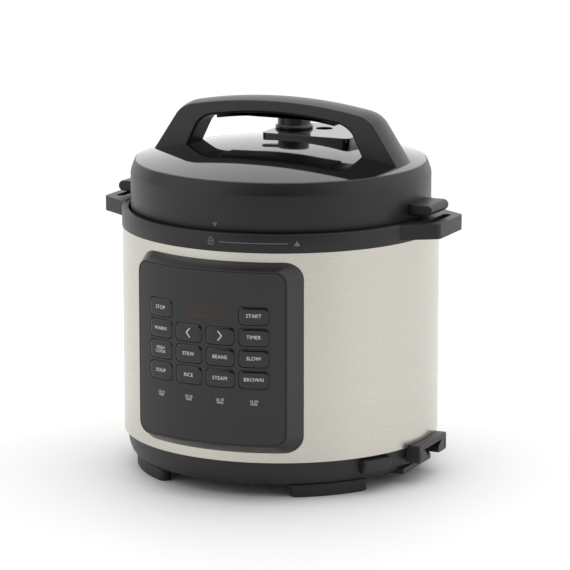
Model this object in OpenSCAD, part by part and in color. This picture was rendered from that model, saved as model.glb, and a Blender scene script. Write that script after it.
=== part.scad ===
// Electric pressure cooker of about six litres, with a lift-off bayonet lid.
// +Z is up. The origin is on the pot's axis, at the level of the table.
// The control panel faces -Y and the carrying handles reach out along X.

/* [Body] */
// Radius of the steel body
shell_r = 133; // [132:0.5:134]
// Height of the steel body
shell_h = 173.6; // [170:0.2:178]
// Height of the steel body's lower edge above the table
base_h = 32; // [31:0.5:33]
// Height of the moulded ring on top of the steel
ring_h = 15.4; // [15:0.1:17]
// Wall of the steel body
shell_t = 1; // [0.8:0.1:1.2]

/* [Lid] */
// Radius of the lid's wall
lid_r = 126; // [125.5:0.1:126.5]
// Height of the lid's wall above the ring
lid_wall_h = 30.5; // [28:0.5:33]
// Height of the bevel between the wall and the domed top
lid_bevel_h = 9.5; // [8:0.5:10]
// Rise of the domed top
lid_dome_h = 15; // [13:0.5:16]
// Number of bayonet lugs
lug_count = 6; // [6:6]

/* [Lid handle] */
// Height of the handle's crown above the table
handle_top = 313; // [311:0.5:318]
// Depth of the handle, front to back
handle_depth = 30; // [26:1:32]
// Thickness of the grip at its middle
grip_t = 12.5; // [11:0.5:13]

/* [Side handles] */
// Reach of the side handles from the axis
side_reach = 154.5; // [152:0.5:158]
// Width of a side handle
side_w = 54; // [48:1:58]
// Thickness of a side handle
side_t = 12.5; // [11:0.5:14]

/* [Inner pot] */
// Outer radius of the inner pot
pot_r = 111; // [110:0.5:111.5]
// Wall of the inner pot
pot_t = 0.8; // [0.6:0.1:1]

/* [Control panel] */
// Radius of the panel's face
panel_r = 147; // [146:0.5:149]
// Half width of the panel's face, across the chord
panel_half_w = 65.4; // [64:0.2:66]
// Height of the panel's face
panel_h = 141.8; // [140:0.2:143]
// Width of a key
key_w = 24.4; // [22:0.1:25]
// Height of a key
key_h = 15; // [13:0.1:15.4]
// Angle between two columns of keys
key_pitch_deg = 11; // [10.8:0.1:11.2]
// Distance between two rows of keys
key_pitch_z = 17.5; // [17.3:0.1:18]

/* [Steam release] */
// Radius of the steam release knob
knob_r = 14; // [12:0.5:15]
// Height of the knob above its deck
knob_h = 20; // [18:0.5:22]
// Reach of the knob's lever from its axis
lever_reach = 31; // [26:1:32]

/* [Hidden] */
$fn = 96;
eps = 0.01;

// Levels, counted up from the table.
z_shell = base_h;
z_ring = z_shell + shell_h;
z_rim = z_ring + ring_h;
z_wall = z_rim + lid_wall_h;
z_bevel = z_wall + lid_bevel_h;
z_dome = z_bevel + lid_dome_h;
foot_h = 11;

// The domed top is a shallow cap of a large sphere.
dome_edge_r = lid_r - 3.5;
dome_r = (pow(dome_edge_r, 2) + pow(lid_dome_h, 2)) / (2 * lid_dome_h);
dome_steps = 14;
lid_t = 2.5;

// Ring with its trough, and the bayonet below the lid.
ring_r = shell_r + 0.5;
ring_bore = ring_r - 5.7;
ring_floor_r = 116;
ring_floor_z = z_ring + 3.9;
liner_r = 115.2;
liner_t = 1.2;
liner_z = 37;
liner_top = z_rim - 2.8;
lug_deg = 24;
tab_deg = 26;
lug_pitch = 360 / lug_count;
skirt_r = 122.8;
skirt_z = z_rim - 7.5;
steel_lid_z = z_rim + 9;

// Lid handle: a crowned grip on two sloping legs.
crown_r = 419;
crown_end_deg = 79.5;
shoulder_r = 26;
leg_deg = 38;
foot_x = 118.6;
grip_under_r = 330;
grip_under_deg = 80;
elbow_r = 22;
insert_t = 3.2;
handle_screw_x = 103;

// Steam release deck, its knob and the float valve.
knob_pos = [-9.6, 47];
float_pos = [15, 54.5];
deck_x = [-25, 57];
deck_y = [11.5, 78];
deck_z = z_dome + 3;
stem_r = 4;
shield_r = 16;

// Panel: a raised pod on the front of the steel.
panel_z = 121.2;
panel_t = 2.5;
panel_gap = 0.3;
pod_lip = 1.5;
pod_back_half_w = 72.7;
pod_back_z = [40.2, 198.3];
pod_seat_r = shell_r + 0.3;
key_z = 104.5;
key_proud = 0.6;
key_flange = 0.8;
board_y = -129;
board_t = 1.6;
switch_h = 3.6;
display_z = 158.5;

// Mains inlet at the +X side, and the condensation cup at the back.
hood_x = 140;
hood_z = [18.6, 33.4];
hood_half_w = 28.6;
hood_t = 4.8;
hood_leg_y = 12.2;
inlet_z = 22;
cup_y = panel_r + key_proud;
cup_half_w = 28;
cup_z = [130, 200];

screw_r = 1.5;
screw_count = 4;
boss_at_r = 109;
foot_mid_r = 117.5;
foot_half_deg = 14;
plate_r = 98;
pot_z = 61;

// Route of a mains lead, from the inlet's pin to the power board.
lead_route = [[105, 5.5, 22.4], [101, 5.7, 22.6], [96, 6.6, 23.6], [85, 9, 25.6], [70, 11, 26],
              [58, 12, 25], [48, 12, 23.5], [40, 12, 21], [34, 12, 20.2]];

// Each key: its name, its column and its row, counted from the lower left.
KEYS = [["key_soup", 0, 0], ["key_rice", 1, 0], ["key_steam", 2, 0], ["key_brown", 3, 0],
        ["key_pressure", 0, 1], ["key_stew", 1, 1], ["key_beans", 2, 1], ["key_slow", 3, 1],
        ["key_warm", 0, 2], ["key_back", 1, 2], ["key_next", 2, 2], ["key_delay", 3, 2],
        ["key_cancel", 0, 3], ["key_start", 3, 3]];
FEET = ["foot_front_right", "foot_back_right", "foot_back_left", "foot_front_left"];

black = [0.06, 0.06, 0.065];
dark = [0.12, 0.12, 0.125];
steel = [0.74, 0.74, 0.7];
green = [0.1, 0.35, 0.2];

// Height of the domed top at a distance from the axis.
function dome_at(r) = z_dome - dome_r + sqrt(pow(dome_r, 2) - pow(r, 2));
function arc_pts(c, r, a0, a1, n) =
    [for (i = [0:n]) let (a = a0 + (a1 - a0) * i / n) c + r * [cos(a), sin(a)]];
function mirrored(pts) = [for (i = [len(pts) - 1:-1:0]) [-pts[i][0], pts[i][1]]];
function key_deg(column) = (column - 1.5) * key_pitch_deg;

// Turns what is drawn at the front (-Y) to an angle towards +X.
module facing(deg) rotate([0, 0, deg]) children();

module ring_of(r_in, r_out, z0, z1) {
    translate([0, 0, z0]) difference() {
        cylinder(r = r_out, h = z1 - z0);
        translate([0, 0, -1]) cylinder(r = r_in, h = z1 - z0 + 2);
    }
}

// A stretch of ring, centred on the front.
module arc_wall(r_in, r_out, deg, z0, z1) {
    rotate([0, 0, -90 - deg / 2]) rotate_extrude(angle = deg)
        translate([r_in, z0]) square([r_out - r_in, z1 - z0]);
}

module round_rect(w, h, r) {
    square([w - 2 * r, h], center = true);
    square([w, h - 2 * r], center = true);
    for (x = [-1, 1], y = [-1, 1]) translate([x * (w / 2 - r), y * (h / 2 - r)]) circle(r = r);
}

// A rounded upright block that runs from the axis out through the front.
module front_prism(half_w, z0, z1, r, y0 = 100, y1 = 180) {
    translate([0, -y0, (z0 + z1) / 2]) rotate([90, 0, 0])
        linear_extrude(y1 - y0) round_rect(2 * half_w, z1 - z0, r);
}

// A tube along a route of points, closed at both ends.
module tube_along(route, r, sides) {
    n = len(route);
    function dir(i) = let (d = route[min(i + 1, n - 1)] - route[max(i - 1, 0)]) d / norm(d);
    function side(t) = let (u = abs(t[2]) > 0.9 ? cross(t, [1, 0, 0]) : cross(t, [0, 0, 1]))
        u / norm(u);
    points = [for (i = [0:n - 1]) let (t = dir(i), u = side(t), v = cross(t, u))
        for (s = [0:sides - 1]) route[i] + r * (cos(360 * s / sides) * u + sin(360 * s / sides) * v)];
    walls = [for (i = [0:n - 2], s = [0:sides - 1]) let (q = (s + 1) % sides)
        [i * sides + s, (i + 1) * sides + s, (i + 1) * sides + q, i * sides + q]];
    first = [for (s = [0:sides - 1]) s];
    last = [for (s = [sides - 1:-1:0]) (n - 1) * sides + s];
    polyhedron(points = points, faces = concat(walls, [first], [last]));
}

// ---- Body ----

module outer_shell() color(steel) difference() {
    ring_of(shell_r - shell_t, shell_r, z_shell, z_ring);
    // Window behind the control panel.
    translate([-58, -shell_r - 5, 57]) cube([116, 30, 125]);
    // Notch over the mains inlet.
    translate([shell_r - 10, -hood_half_w - 0.3, z_shell - 1])
        cube([20, 2 * hood_half_w + 0.6, hood_z[1] + 1.3 - z_shell]);
}

// Handle that widens towards the ring, with a slot for a finger.
module side_handle_outline() difference() {
    hull() for (s = [-1, 1]) {
        translate([side_reach - 5.5, s * (side_w / 2 - 5.5)]) circle(r = 5.5, $fn = 48);
        translate([122, s * 45.5]) circle(r = 0.5, $fn = 16);
    }
    circle(r = ring_bore + 1);
    hull() for (s = [-1, 1]) translate([143.4, s * 16.2]) circle(r = 3.7, $fn = 32);
}

module top_ring() color(black) difference() {
    union() {
        rotate_extrude() polygon([[ring_floor_r, z_ring], [ring_r, z_ring], [ring_r, z_rim],
            [ring_bore, z_rim], [ring_bore, ring_floor_z], [ring_floor_r, ring_floor_z]]);
        // Spigot inside the steel.
        ring_of(shell_r - 4, shell_r - shell_t - 0.2, z_ring - 7, z_ring + eps);
        for (a = [0, 180]) rotate([0, 0, a])
            translate([0, 0, z_rim - side_t]) linear_extrude(side_t) side_handle_outline();
        // Spout that leads condensate from the trough to the cup.
        translate([-4, ring_r - 1.5, z_ring + 0.2]) cube([8, 5.5, 3.5]);
    }
    // Drain through the ring's wall and along the spout.
    translate([-2.5, ring_bore - 1, ring_floor_z - 1.9]) cube([5, 12, 4.4]);
}

module base_profile() polygon([[112, foot_h], [122, foot_h], [125, foot_h + 1.6],
    [127.4, foot_h + 5.5], [129, foot_h + 10.5], [130, foot_h + 15.5], [130.3, z_shell - 0.6],
    [shell_r - shell_t - 0.3, z_shell - 0.6], [shell_r - shell_t - 0.3, z_shell + 9],
    [shell_r - shell_t - 3.4, z_shell + 9], [shell_r - shell_t - 3.4, z_shell - 1],
    [127.4, foot_h + 15], [126.2, foot_h + 10.5], [124.6, foot_h + 6.5], [121, foot_h + 4.2],
    [104.8, foot_h + 4.2], [104.8, foot_h + 2.6], [112, foot_h + 2.6]]);

module base_housing() color(black) {
    difference() {
        union() {
            rotate_extrude() base_profile();
            // Flat-faced block under the mains inlet.
            difference() {
                translate([100, -29.5, foot_h - 3]) cube([26, 59, 5.4]);
                translate([0, 0, foot_h - 4]) cylinder(r = 113.2, h = 10);
            }
            for (i = [1:screw_count]) rotate([0, 0, (i + 0.5) * 360 / screw_count])
                translate([boss_at_r, 0, foot_h + 2.7]) cylinder(r = 3.6, h = 12);
            // Raised wall of the pocket at the front right.
            facing(61) difference() {
                translate([-14, -shell_r - 4.3, 20.4]) cube([28, 12, 9.2]);
                cylinder(r = 128.75, h = 60);
            }
        }
        for (i = [1:screw_count]) rotate([0, 0, (i + 0.5) * 360 / screw_count])
            translate([boss_at_r, 0, foot_h]) cylinder(r = screw_r, h = 20);
        // Opening for the mains inlet.
        translate([118, -hood_leg_y - 1.2, 14.8]) cube([20, 2 * hood_leg_y + 2.4, 14.4]);
        // Slot of the pocket.
        facing(61) translate([-12, -shell_r - 2.6, 22.6]) cube([24, 3.6, 8]);
    }
}

module base_cover() color(dark) difference() {
    union() {
        translate([0, 0, foot_h + 0.2]) cylinder(r = 111.7, h = 2.3);
        // Posts under the power board.
        for (x = [-56, 26], y = [-32, 26]) translate([x, y, foot_h + 2]) cylinder(r = 3.5, h = 4);
    }
    for (i = [1:screw_count]) rotate([0, 0, (i + 0.5) * 360 / screw_count])
        translate([boss_at_r, 0, foot_h]) {
            cylinder(r = screw_r + 0.2, h = 5);
            translate([0, 0, -eps]) cylinder(r = 2.45, h = 1.3);
        }
    // Air slots.
    for (x = [-2:2]) translate([x * 9 + 60, -22, foot_h]) cube([4, 44, 5]);
}

module base_screws() color(steel) for (i = [1:screw_count])
    rotate([0, 0, (i + 0.5) * 360 / screw_count]) translate([boss_at_r, 0, foot_h + 0.3]) {
        cylinder(r = 2.4, h = 0.9);
        cylinder(r = screw_r, h = 12);
    }

module foot(i) color(dark) facing(45 + 90 * i) {
    arc_wall(foot_mid_r - 5, foot_mid_r + 5, 2 * foot_half_deg, 0, foot_h);
    for (s = [-1, 1]) facing(s * foot_half_deg) translate([0, -foot_mid_r, 0])
        cylinder(r = 5, h = foot_h);
}

// ---- Heating ----

module liner() color([0.62, 0.62, 0.6]) difference() {
    union() {
        rotate_extrude() polygon([[10, liner_z], [liner_r, liner_z],
            [liner_r, ring_floor_z + 0.1], [liner_r + 8.8, ring_floor_z + 0.1],
            [liner_r + 8.8, ring_floor_z + 1.2], [liner_r, ring_floor_z + 1.2],
            [liner_r, liner_top], [liner_r - liner_t, liner_top],
            [liner_r - liner_t, liner_z + liner_t], [10, liner_z + liner_t]]);
        for (i = [1:lug_count]) facing(i * lug_pitch)
            arc_wall(liner_r - 0.2, 120.9, tab_deg, liner_top - 2, liner_top);
    }
    for (a = [-20, 20]) rotate([0, 0, a]) translate([72, 0, liner_z - 1]) cylinder(r = 4.6, h = 4);
}

module heating_plate() color([0.7, 0.7, 0.72]) {
    plate_top = pot_z - 0.5;
    ring_of(16, plate_r, plate_top - 8, plate_top);
    // Heating tube cast into the underside, with its two terminals.
    rotate_extrude() translate([72, plate_top - 10.5]) circle(r = 4.5);
    for (a = [-20, 20]) rotate([0, 0, a]) translate([72, 0, 30]) cylinder(r = 3, h = 20);
    for (a = [60:120:300]) rotate([0, 0, a]) translate([88, 0, liner_z + liner_t + 0.05])
        cylinder(r = 4, h = 16);
}

module sensor_bracket() color(steel) ring_of(stem_r + 0.15, 22, liner_z + 1.3, liner_z + 2.6);

module sensor_spring() color(steel) {
    turns = 5;
    per_turn = 12;
    tube_along([for (i = [0:turns * per_turn])
        [7.5 * cos(360 * i / per_turn), 7.5 * sin(360 * i / per_turn),
         liner_z + 3.4 + i * 9.8 / (turns * per_turn)]], 0.6, 8);
}

module temperature_sensor() color([0.8, 0.8, 0.78]) {
    translate([0, 0, 51]) cylinder(r = 12, h = pot_z - 0.3 - 51);
    translate([0, 0, 31]) cylinder(r = stem_r, h = 20.5);
    translate([0, 0, 31]) cylinder(r = 5.5, h = 1.5);
}

module thermal_fuse() color([0.85, 0.82, 0.75]) {
    translate([30, -22, 46.8]) rotate([0, 90, 0]) cylinder(r = 2.4, h = 14);
    for (x = [20, 43.5]) translate([x, -22, 46.8]) rotate([0, 90, 0]) cylinder(r = 0.6, h = 10.5);
}

module pressure_switch() color(dark) {
    translate([-12, 55, 20]) cube([24, 12, 14]);
    translate([0, 61, 33.5]) cylinder(r = 3, h = 3.4);
}

module power_board() color(green) translate([-62, -38, foot_h + 6.05]) cube([94, 70, board_t]);

module relay() color([0.1, 0.2, 0.5])
    translate([-48, -26, foot_h + 6.1 + board_t]) cube([24, 18, 15]);

module transformer() color([0.75, 0.7, 0.3])
    translate([-12, -28, foot_h + 6.1 + board_t]) cube([26, 22, 15.5]);

module mains_leads() color([0.45, 0.25, 0.15])
    for (s = [-1, 1]) tube_along([for (p = lead_route) [p[0], s * p[1], p[2]]], 1.2, 8);

module ribbon_cable() color([0.7, 0.7, 0.72]) {
    path = [[-39, 19.2], [-98, 19.6], [-120, 36], [-122, 60], [-122, 110], [-127.6, 130]];
    back = [for (i = [len(path) - 1:-1:0]) path[i] + [0.9, 0.9]];
    translate([-36, 0, 0]) rotate([90, 0, 90]) linear_extrude(14) polygon(concat(path, back));
}

// ---- Mains inlet ----

// Bar on two legs, with a collar that reaches into the base.
module inlet_hood() color(black) {
    difference() {
        union() {
            translate([124, -hood_half_w, hood_z[1] - hood_t])
                cube([hood_x - 124, 2 * hood_half_w, hood_t]);
            for (s = [-1, 1]) translate([124, 0, 0]) rotate([90, 0, 90])
                linear_extrude(hood_x - 124) polygon([[s * hood_leg_y, hood_z[0]],
                    [s * hood_half_w, hood_z[0]], [s * hood_half_w, hood_z[1] - 1],
                    [s * (hood_leg_y + 6), hood_z[1] - 1], [s * (hood_leg_y + 6), hood_z[1] - 5.5],
                    [s * hood_leg_y, hood_z[0] + 5.4]]);
        }
        cylinder(r = 130.7, h = 60);
        translate([0, 0, z_shell - 0.8]) cylinder(r = shell_r + 0.3, h = 10);
    }
    difference() {
        translate([121, -hood_leg_y - 1, 15]) cube([10.5, 2 * hood_leg_y + 2, 14]);
        translate([120, -hood_leg_y + 0.6, 16.2]) cube([20, 2 * hood_leg_y - 1.2, 11.6]);
    }
}

module mains_inlet() color(dark) difference() {
    translate([110, -11.4, inlet_z - 5.6]) cube([19, 22.8, 11.2]);
    translate([113, -9.8, inlet_z - 4.1]) cube([20, 19.6, 8.2]);
    for (y = [-5.5, 0, 5.5])
        translate([108, y - 1, inlet_z - 2 + (y == 0 ? 1.2 : 0)]) cube([8, 2, 3]);
}

module inlet_pins() color([0.8, 0.7, 0.4]) for (y = [-5.5, 0, 5.5])
    translate([106.4, y - 1, inlet_z - 2 + (y == 0 ? 1.2 : 0)]) cube([17, 2, 3]);

// ---- Condensation cup ----

module cup_rail() color(black) difference() {
    translate([-34, 120, cup_z[1] - 5.2]) cube([68, 24.5, 8.6]);
    cylinder(r = shell_r + 0.1, h = 400);
    // Room for the cup's body, its rim and the drop from the spout.
    translate([-cup_half_w - 0.4, 134, cup_z[1] - 7]) cube([2 * cup_half_w + 0.8, 20, 8.9]);
    translate([-31.5, 134, cup_z[1] - 2.4]) cube([63, 20, 2.8]);
    translate([-6, 134, cup_z[1]]) cube([12, 6, 10]);
}

module condensation_cup() color([0.8, 0.8, 0.8]) {
    y0 = 134.4;
    depth = cup_y - y0;
    difference() {
        union() {
            translate([0, y0 + depth / 2, cup_z[0]]) linear_extrude(cup_z[1] - cup_z[0])
                round_rect(2 * cup_half_w, depth, 4);
            translate([-31, y0, cup_z[1] - 2]) cube([62, depth - 2.5, 2]);
        }
        translate([0, y0 + depth / 2, cup_z[0] + 2]) linear_extrude(cup_z[1])
            round_rect(2 * cup_half_w - 4, depth - 3.6, 2.4);
    }
}

// ---- Control panel ----

module pod_outline(half_w, z0, z1, r_corner, r_in, r_out) intersection() {
    ring_of(r_in, r_out, 0, 250);
    front_prism(half_w, z0, z1, r_corner);
}

module panel_frame() color(dark) difference() {
    hull() {
        pod_outline(panel_half_w + pod_lip, panel_z - panel_h / 2 - pod_lip,
            panel_z + panel_h / 2 + pod_lip, 10, panel_r - 0.5, panel_r, $fn = 128);
        pod_outline(pod_back_half_w, pod_back_z[0], pod_back_z[1], 14,
            pod_seat_r, pod_seat_r + 1, $fn = 128);
    }
    cylinder(r = pod_seat_r, h = 250);
    // Seat of the face, and the room behind it.
    intersection() {
        ring_of(panel_r - panel_t - panel_gap, panel_r + 20, 0, 250);
        front_prism(panel_half_w + panel_gap, panel_z - panel_h / 2 - panel_gap,
            panel_z + panel_h / 2 + panel_gap, 9);
    }
    front_prism(panel_half_w - 2.2, panel_z - panel_h / 2 + 2.2, panel_z + panel_h / 2 - 2.2, 7);
}

module key_prism(k, grow) facing(key_deg(k[1]))
    front_prism(key_w / 2 + grow, key_z + k[2] * key_pitch_z - key_h / 2 - grow,
        key_z + k[2] * key_pitch_z + key_h / 2 + grow, 4);

module panel_face() color(black) difference() {
    pod_outline(panel_half_w, panel_z - panel_h / 2, panel_z + panel_h / 2, 9,
        panel_r - panel_t, panel_r);
    for (k = KEYS) key_prism(k, 0.3);
    front_prism(18, display_z - 6.5, display_z + 6.5, 2);
}

module display_window() color([0.2, 0.05, 0.05])
    pod_outline(17.9, display_z - 6.4, display_z + 6.4, 1.9, panel_r - panel_t, panel_r - 0.05);

module display_module() color(dark)
    translate([-16, -142.5, display_z - 6]) cube([32, 142.5 + board_y - board_t, 12]);

module key(k) color(black) {
    deg = key_deg(k[1]);
    stem_end = (-board_y + board_t + switch_h + 1 + 2 * sin(abs(deg))) / cos(deg);
    intersection() {
        ring_of(panel_r - panel_t - 1.5, panel_r + key_proud, 0, 250);
        key_prism(k, 0);
    }
    intersection() {
        ring_of(panel_r - panel_t - 1.7, panel_r - panel_t - 0.3, 0, 250);
        key_prism(k, key_flange);
    }
    facing(deg) translate([0, -stem_end, key_z + k[2] * key_pitch_z]) rotate([90, 0, 0])
        cylinder(r = 2, h = panel_r - panel_t - 1 - stem_end);
}

module control_board() color(green)
    translate([-55, board_y - board_t, 92]) cube([110, board_t, 86]);

module tact_switches() color(dark) for (k = KEYS)
    translate([-board_y * tan(key_deg(k[1])), board_y - board_t, key_z + k[2] * key_pitch_z])
        translate([-3, -switch_h, -3]) cube([6, switch_h, 6]);

// ---- Pot and lid ----

module inner_pot() color(steel) rotate_extrude() {
    r_in = pot_r - pot_t;
    top = liner_top + 2.4;
    polygon([[0, pot_z], [pot_r - 8, pot_z], [pot_r - 2.4, pot_z + 2.3], [pot_r, pot_z + 8],
        [pot_r, top - 1.2], [pot_r + 3.6, top - 1.2], [pot_r + 3.6, top], [r_in, top],
        [r_in, pot_z + 8.5], [r_in - 2.2, pot_z + 4.8], [r_in - 7.2, pot_z + 3.5],
        [0, pot_z + 3.5]]);
}

// Channel-shaped seal, open towards the axis.
module sealing_ring() color([0.85, 0.85, 0.83]) rotate_extrude() {
    z0 = liner_top + 2.7;
    z1 = steel_lid_z - 0.4;
    polygon([[107.5, z0], [118.2, z0], [118.2, z1], [105.8, z1], [105.8, z1 - 2.2],
        [116, z1 - 2.2], [116, z0 + 2.1], [107.5, z0 + 2.1]]);
}

module ring_rack() color(steel) {
    ring_of(103.6, 104.8, steel_lid_z - 7.4, steel_lid_z - 0.05);
    ring_of(104.7, 113, steel_lid_z - 5.1, steel_lid_z - 4.1);
}

module lid_steel() color(steel) difference() {
    union() {
        rotate_extrude() polygon([[0, steel_lid_z], [skirt_r - 1.2, steel_lid_z],
            [skirt_r - 1.2, skirt_z], [skirt_r, skirt_z], [skirt_r, steel_lid_z + 1.2],
            [0, steel_lid_z + 1.2]]);
        for (i = [1:lug_count]) facing(i * lug_pitch)
            arc_wall(117, skirt_r - 1, lug_deg, skirt_z, skirt_z + 2);
        // Studs that hold the lid cover.
        for (a = [-60, 180, 60]) rotate([0, 0, a]) translate([82, 0, steel_lid_z + 1])
            cylinder(r = 2, h = 27);
    }
    translate([knob_pos[0], knob_pos[1], steel_lid_z - 2]) cylinder(r = stem_r + 0.05, h = 5);
    translate([float_pos[0], float_pos[1], steel_lid_z - 2]) cylinder(r = 4.2, h = 5);
}

module dome_solid(lift, r_max) rotate_extrude() polygon(concat(
    [for (i = [0:dome_steps]) let (r = r_max * i / dome_steps) [r, dome_at(r) + lift]],
    [[r_max, z_rim], [0, z_rim]]));

module lid_cover() color(black) difference() {
    union() {
        rotate_extrude() polygon(concat(
            [for (i = [0:dome_steps]) let (r = dome_edge_r * i / dome_steps) [r, dome_at(r)]],
            [[lid_r, z_wall], [lid_r, z_rim - 5], [lid_r - 2.4, z_rim - 5],
             [lid_r - 2.4, z_wall - 1], [dome_edge_r - 2.2, z_bevel - 3]],
            [for (i = [dome_steps:-1:0]) let (r = (dome_edge_r - 6) * i / dome_steps)
                [r, dome_at(r) - lid_t]]));
        // Tabs over the side handles.
        for (a = [0, 180]) rotate([0, 0, a]) difference() {
            union() {
                translate([110, -18.5, z_rim + 4]) cube([30, 37, 9]);
                translate([140, 18.5, z_rim + 8.5]) rotate([90, 0, 0]) cylinder(r = 4.5, h = 37);
            }
            cylinder(r = lid_r - 1, h = 300);
        }
        // Deck of the steam release.
        difference() {
            translate([(deck_x[0] + deck_x[1]) / 2, (deck_y[0] + deck_y[1]) / 2, z_dome - 13])
                linear_extrude(deck_z - z_dome + 13)
                round_rect(deck_x[1] - deck_x[0], deck_y[1] - deck_y[0], 6);
            dome_solid(-lid_t / 2, dome_edge_r);
        }
        // Bosses on the studs of the steel lid.
        for (a = [-60, 180, 60]) rotate([0, 0, a]) translate([82, 0, steel_lid_z + 1.3])
            cylinder(r = 4.5, h = dome_at(86) - lid_t / 2 - steel_lid_z - 1.3);
    }
    for (a = [-60, 180, 60]) rotate([0, 0, a]) translate([82, 0, steel_lid_z])
        cylinder(r = 2.05, h = 30);
    translate([knob_pos[0], knob_pos[1], z_wall]) cylinder(r = stem_r + 0.3, h = 60);
    translate([float_pos[0], float_pos[1], z_wall]) cylinder(r = 7.2, h = 60);
    for (s = [-1, 1]) translate([s * handle_screw_x, 0, z_wall]) cylinder(r = 2.2, h = 40);
}

// Half outlines of the handle, from the middle outwards, in x and height.
crown_c = [0, handle_top - crown_r];
shoulder_c = crown_c + (crown_r - shoulder_r) * [cos(crown_end_deg), sin(crown_end_deg)];
under_c = [0, handle_top - grip_t - grip_under_r];
elbow_c = under_c + (grip_under_r - elbow_r) * [cos(grip_under_deg), sin(grip_under_deg)];
handle_foot_z = z_bevel - 2;
handle_over = concat(arc_pts(crown_c, crown_r, 90, crown_end_deg, 8),
    arc_pts(shoulder_c, shoulder_r, crown_end_deg - 6, leg_deg, 6), [[foot_x, handle_foot_z]]);
handle_under = concat(arc_pts(under_c, grip_under_r, 90, grip_under_deg, 6),
    arc_pts(elbow_c, elbow_r, grip_under_deg - 8, leg_deg, 4),
    [[foot_x - 31.5, handle_foot_z]]);

module across(half_depth) rotate([90, 0, 0])
    translate([0, 0, -half_depth]) linear_extrude(2 * half_depth) children();

module lid_handle() color(dark) difference() {
    across(handle_depth / 2) polygon(concat(handle_over, [for (i = [len(handle_under) - 1:-1:0])
        handle_under[i]], mirrored([for (i = [len(handle_under) - 1:-1:0]) handle_under[i]]),
        mirrored(handle_over)));
    dome_solid(0.03, dome_edge_r);
    for (s = [-1, 1]) translate([s * handle_screw_x, 0, z_wall])
        cylinder(r = 2.02, h = handle_top - 38 - z_wall);
}

// Strip that closes the underside of the grip.
module handle_insert() color(black) {
    strip = arc_pts(under_c, grip_under_r - 0.05, 90, grip_under_deg, 6);
    below = arc_pts(under_c, grip_under_r - insert_t, grip_under_deg + 0.5, 90, 6);
    across(handle_depth / 2 - 2.5) polygon(concat(strip, below, mirrored(below), mirrored(strip)));
}

module handle_screws() color(steel) for (s = [-1, 1])
    translate([s * handle_screw_x, 0, z_bevel - 1.8]) {
        cylinder(r = 4, h = 2.6);
        cylinder(r = 2, h = 14);
    }

// ---- Valves ----

module valve_stem() color(steel) translate([knob_pos[0], knob_pos[1], 0]) {
    translate([0, 0, steel_lid_z - 5]) cylinder(r = stem_r, h = deck_z + 11 - steel_lid_z + 5);
    translate([0, 0, steel_lid_z - 3.5]) cylinder(r = 8, h = 3.4);
}

module anti_block_shield() color(steel) translate([knob_pos[0], knob_pos[1], 0]) {
    bottom = steel_lid_z - 16;
    difference() {
        translate([0, 0, bottom]) cylinder(r = shield_r, h = 15.9);
        translate([0, 0, bottom + 1]) cylinder(r = shield_r - 1, h = 13.6);
        translate([0, 0, bottom + 10]) cylinder(r = 8.1, h = 10);
        for (a = [0:45:135]) rotate([0, 0, a])
            translate([-20, -1.5, bottom + 3]) cube([40, 3, 8]);
    }
}

module steam_knob() color(black) translate([knob_pos[0], knob_pos[1], deck_z + 0.3]) {
    difference() {
        union() {
            cylinder(r = knob_r + 2, h = 2.2);
            cylinder(r = knob_r, h = knob_h - 0.3);
            translate([-lever_reach + 5, -5, knob_h - 5.3]) cube([lever_reach - 5, 10, 5]);
            translate([-lever_reach + 5, 0, knob_h - 5.3]) cylinder(r = 5, h = 5);
        }
        translate([0, 0, -1]) cylinder(r = stem_r + 0.1, h = 13.2);
    }
}

module float_pin() color([0.7, 0.1, 0.08]) translate([float_pos[0], float_pos[1], 0]) {
    translate([0, 0, deck_z - 11]) cylinder(r = 5.5, h = 4);
    translate([0, 0, z_rim]) cylinder(r = 3, h = deck_z - 10 - z_rim);
}

module float_seal() color([0.8, 0.8, 0.78])
    translate([float_pos[0], float_pos[1], 0]) ring_of(3, 5.5, z_rim - 0.4, z_rim + 2.6);

outer_shell();
top_ring();
base_housing();
base_cover();
base_screws();
for (i = [0:3]) foot(i);
liner();
heating_plate();
sensor_bracket();
sensor_spring();
temperature_sensor();
thermal_fuse();
pressure_switch();
power_board();
relay();
transformer();
mains_leads();
ribbon_cable();
inlet_hood();
mains_inlet();
inlet_pins();
cup_rail();
condensation_cup();
panel_frame();
panel_face();
display_window();
display_module();
control_board();
tact_switches();
for (k = KEYS) key(k);
inner_pot();
sealing_ring();
ring_rack();
lid_steel();
lid_cover();
lid_handle();
handle_insert();
handle_screws();
valve_stem();
anti_block_shield();
steam_knob();
float_pin();
float_seal();
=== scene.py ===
"""Electric pressure cooker: the finished pieces, their materials and the stage.

Meshes are drawn in millimetres, standing where they belong, and brought to metres as they
are finished. The names in capitals at the top are read from the frame."""

import math

import bmesh
import bpy
from bpy.props import FloatProperty, FloatVectorProperty, IntProperty, PointerProperty
from mathutils import Matrix, Vector


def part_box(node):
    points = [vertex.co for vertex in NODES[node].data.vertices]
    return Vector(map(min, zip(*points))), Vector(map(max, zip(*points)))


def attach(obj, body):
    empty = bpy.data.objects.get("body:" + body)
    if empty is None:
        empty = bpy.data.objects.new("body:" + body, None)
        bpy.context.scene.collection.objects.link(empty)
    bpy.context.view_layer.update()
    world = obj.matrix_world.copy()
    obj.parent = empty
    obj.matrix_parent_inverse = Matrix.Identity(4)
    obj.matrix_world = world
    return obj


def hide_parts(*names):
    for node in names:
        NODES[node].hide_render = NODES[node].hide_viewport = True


bl_info = {
    "name": "Electric pressure cooker",
    "version": (1, 0, 0),
    "blender": (4, 5, 0),
    "location": "View3D > Sidebar > Cooker",
    "description": "Builds the pieces, finishes and stage of an electric pressure cooker",
    "category": "Object",
}

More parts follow.
